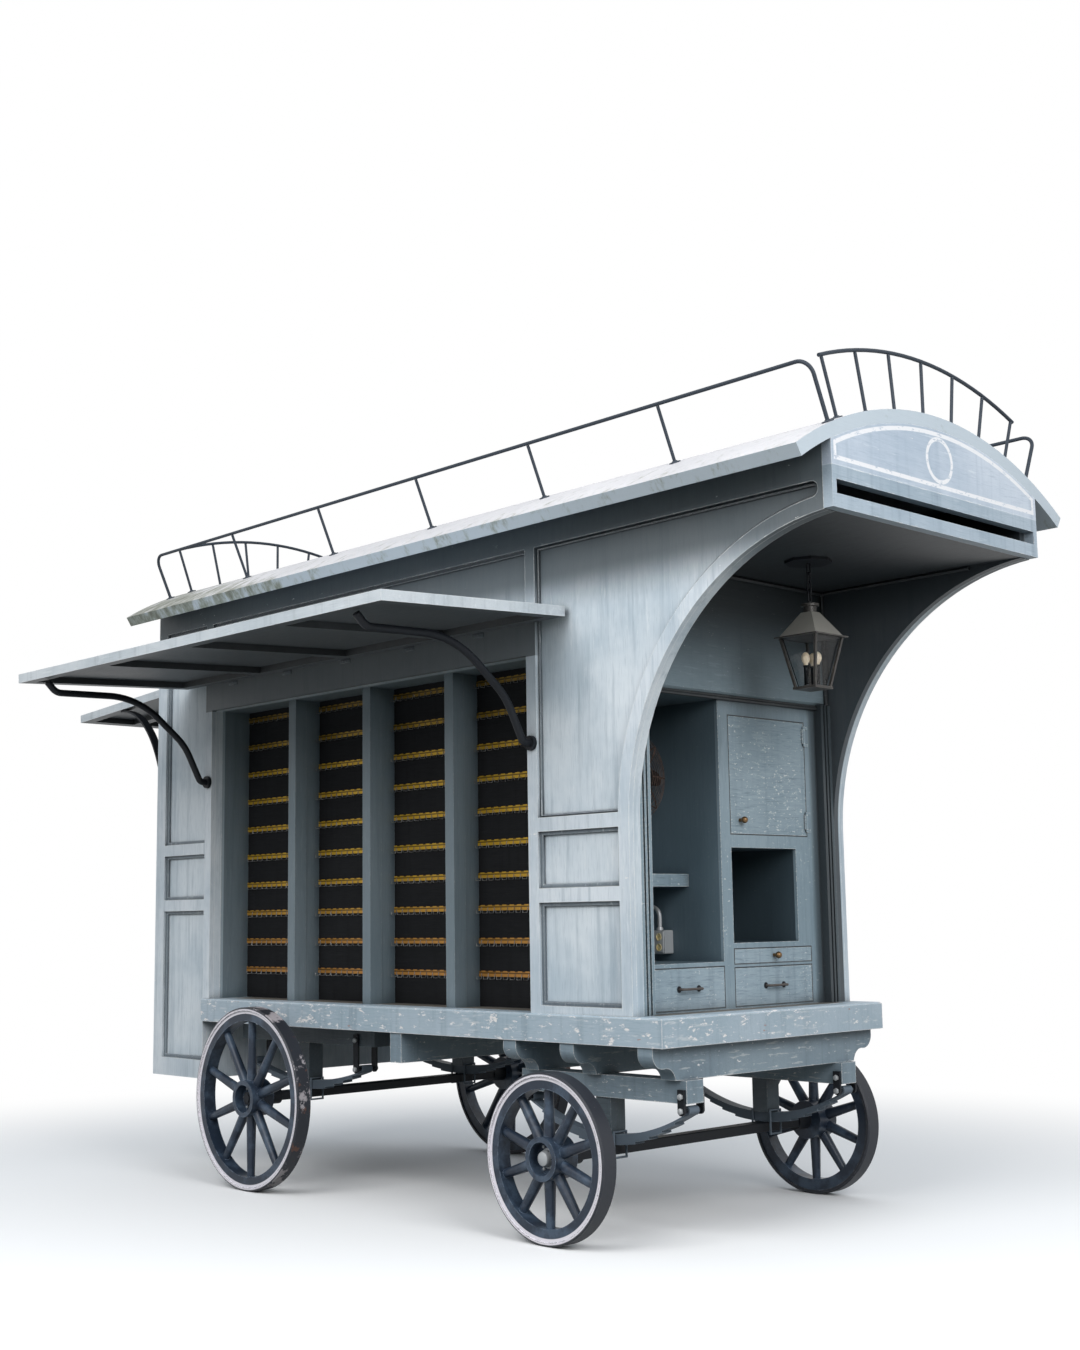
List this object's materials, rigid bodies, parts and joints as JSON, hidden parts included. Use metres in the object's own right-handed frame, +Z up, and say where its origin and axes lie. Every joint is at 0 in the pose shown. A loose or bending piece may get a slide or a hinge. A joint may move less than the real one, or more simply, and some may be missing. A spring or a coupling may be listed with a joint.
{
  "type": "canopy cart",
  "caption": "Vendor's canopy cart with a vaulted roof, panelled body, display bays under a side awning, arched open front with a cabinet and lantern, on spoked wheels.",
  "frame": {"origin": "on the ground in the middle of the overall plan, awnings included", "axes": "+X forward from the rear awning to the open canopy end, +Y from the display side to the closed side, +Z up"},
  "size_m": [5.288, 2.4822, 3.2985],
  "materials": {
    "panel_paint": "weathered pale blue-grey paint on boards",
    "cabinet_paint": "chipped blue-grey paint over white",
    "sill_paint": "chipped blue-grey paint",
    "floor_boards": "worn boards",
    "black_back": "matte black paint",
    "hook_strip": "golden yellow tape",
    "roof_sheet": "off-white sheet, streaked at the edges",
    "awning_paint": "grey paint, weathered",
    "dark_iron": "dark painted iron",
    "wheel_paint": "dark slate paint",
    "tyre_iron": "dark iron band, rubbed",
    "lantern_bronze": "dark bronze",
    "lantern_pane": "clear glass",
    "candle_cream": "cream sleeve",
    "fan_metal": "grey enamel and wire",
    "fan_plastic": "pale plastic",
    "socket_steel": "dull zinc plate",
    "knob_brass": "worn brass"
  },
  "bodies": {
    "cart": {"boot_box": "panel_paint", "cabinet_case": "cabinet_paint", "cross_beams": "sill_paint", "deck_floor": "floor_boards", "deck_sill": "sill_paint", "display_back": "black_back", "display_case": "panel_paint", "display_dividers": "panel_paint", "display_strips": "hook_strip", "door_hinges": "socket_steel", "fan_guard": "fan_metal", "fascia": "panel_paint", "front_axle": "dark_iron", "front_beams": "sill_paint", "front_header": "panel_paint", "front_posts": "cabinet_paint", "front_springs": "dark_iron", "lantern_candles": "candle_cream", "lantern_frame": "lantern_bronze", "lantern_glass": "lantern_pane", "lantern_hanger": "lantern_bronze", "niche_pipe": "socket_steel", "niche_shelf": "cabinet_paint", "pediment": "panel_paint", "rear_awning": "awning_paint", "rear_axle": "dark_iron", "rear_beams": "sill_paint", "rear_board": "panel_paint", "rear_brackets": "dark_iron", "rear_frame": "panel_paint", "rear_springs": "dark_iron", "roof": "roof_sheet", "roof_end_rails": "dark_iron", "roof_rail_posts": "dark_iron", "roof_side_rails": "dark_iron", "side_awning": "awning_paint", "side_awning_stays": "dark_iron", "side_board_far": "panel_paint", "side_board_near": "panel_paint", "side_frame_far": "panel_paint", "side_frame_near": "panel_paint", "socket_box": "socket_steel", "soffit": "panel_paint", "spring_posts": "sill_paint", "spring_shackles": "dark_iron"},
    "wheel_front_near": {"wheel_front_near": "wheel_paint", "tyre_front_near": "tyre_iron"},
    "wheel_front_far": {"wheel_front_far": "wheel_paint", "tyre_front_far": "tyre_iron"},
    "wheel_rear_near": {"wheel_rear_near": "wheel_paint", "tyre_rear_near": "tyre_iron"},
    "wheel_rear_far": {"wheel_rear_far": "wheel_paint", "tyre_rear_far": "tyre_iron"},
    "door": {"cabinet_door": "cabinet_paint", "door_knob": "knob_brass"},
    "left_drawer": {"left_drawer": "cabinet_paint"},
    "large_drawer": {"large_drawer": "cabinet_paint"},
    "small_drawer": {"small_drawer": "cabinet_paint", "small_drawer_knob": "knob_brass"},
    "fan": {"fan_blades": "fan_plastic"}
  },
  "joints": [
    {"name": "wheel_front_near_spin", "type": "hinge", "parent": "cart", "child": "wheel_front_near", "pos_m": [1.32203, -0.43338, 0.318], "axis": [0, 1, 0], "continuous": true},
    {"name": "wheel_front_far_spin", "type": "hinge", "parent": "cart", "child": "wheel_front_far", "pos_m": [1.32203, 1.17362, 0.318], "axis": [0, 1, 0], "continuous": true},
    {"name": "wheel_rear_near_spin", "type": "hinge", "parent": "cart", "child": "wheel_rear_near", "pos_m": [-0.65497, -0.43338, 0.412], "axis": [0, 1, 0], "continuous": true},
    {"name": "wheel_rear_far_spin", "type": "hinge", "parent": "cart", "child": "wheel_rear_far", "pos_m": [-0.65497, 1.17362, 0.412], "axis": [0, 1, 0], "continuous": true},
    {"name": "door_hinge", "type": "hinge", "parent": "cart", "child": "door", "pos_m": [1.60803, 0.83212, 1.7835], "axis": [0, 0, 1], "range_deg": [0, 100]},
    {"name": "left_drawer_slide", "type": "slide", "parent": "cart", "child": "left_drawer", "axis": [1, 0, 0], "range_m": [0, 0.3]},
    {"name": "large_drawer_slide", "type": "slide", "parent": "cart", "child": "large_drawer", "axis": [1, 0, 0], "range_m": [0, 0.3]},
    {"name": "small_drawer_slide", "type": "slide", "parent": "cart", "child": "small_drawer", "axis": [1, 0, 0], "range_m": [0, 0.3]},
    {"name": "fan_spin", "type": "hinge", "parent": "cart", "child": "fan", "pos_m": [1.33003, 0.05612, 1.78], "axis": [1, 0, 0], "continuous": true}
  ]
}
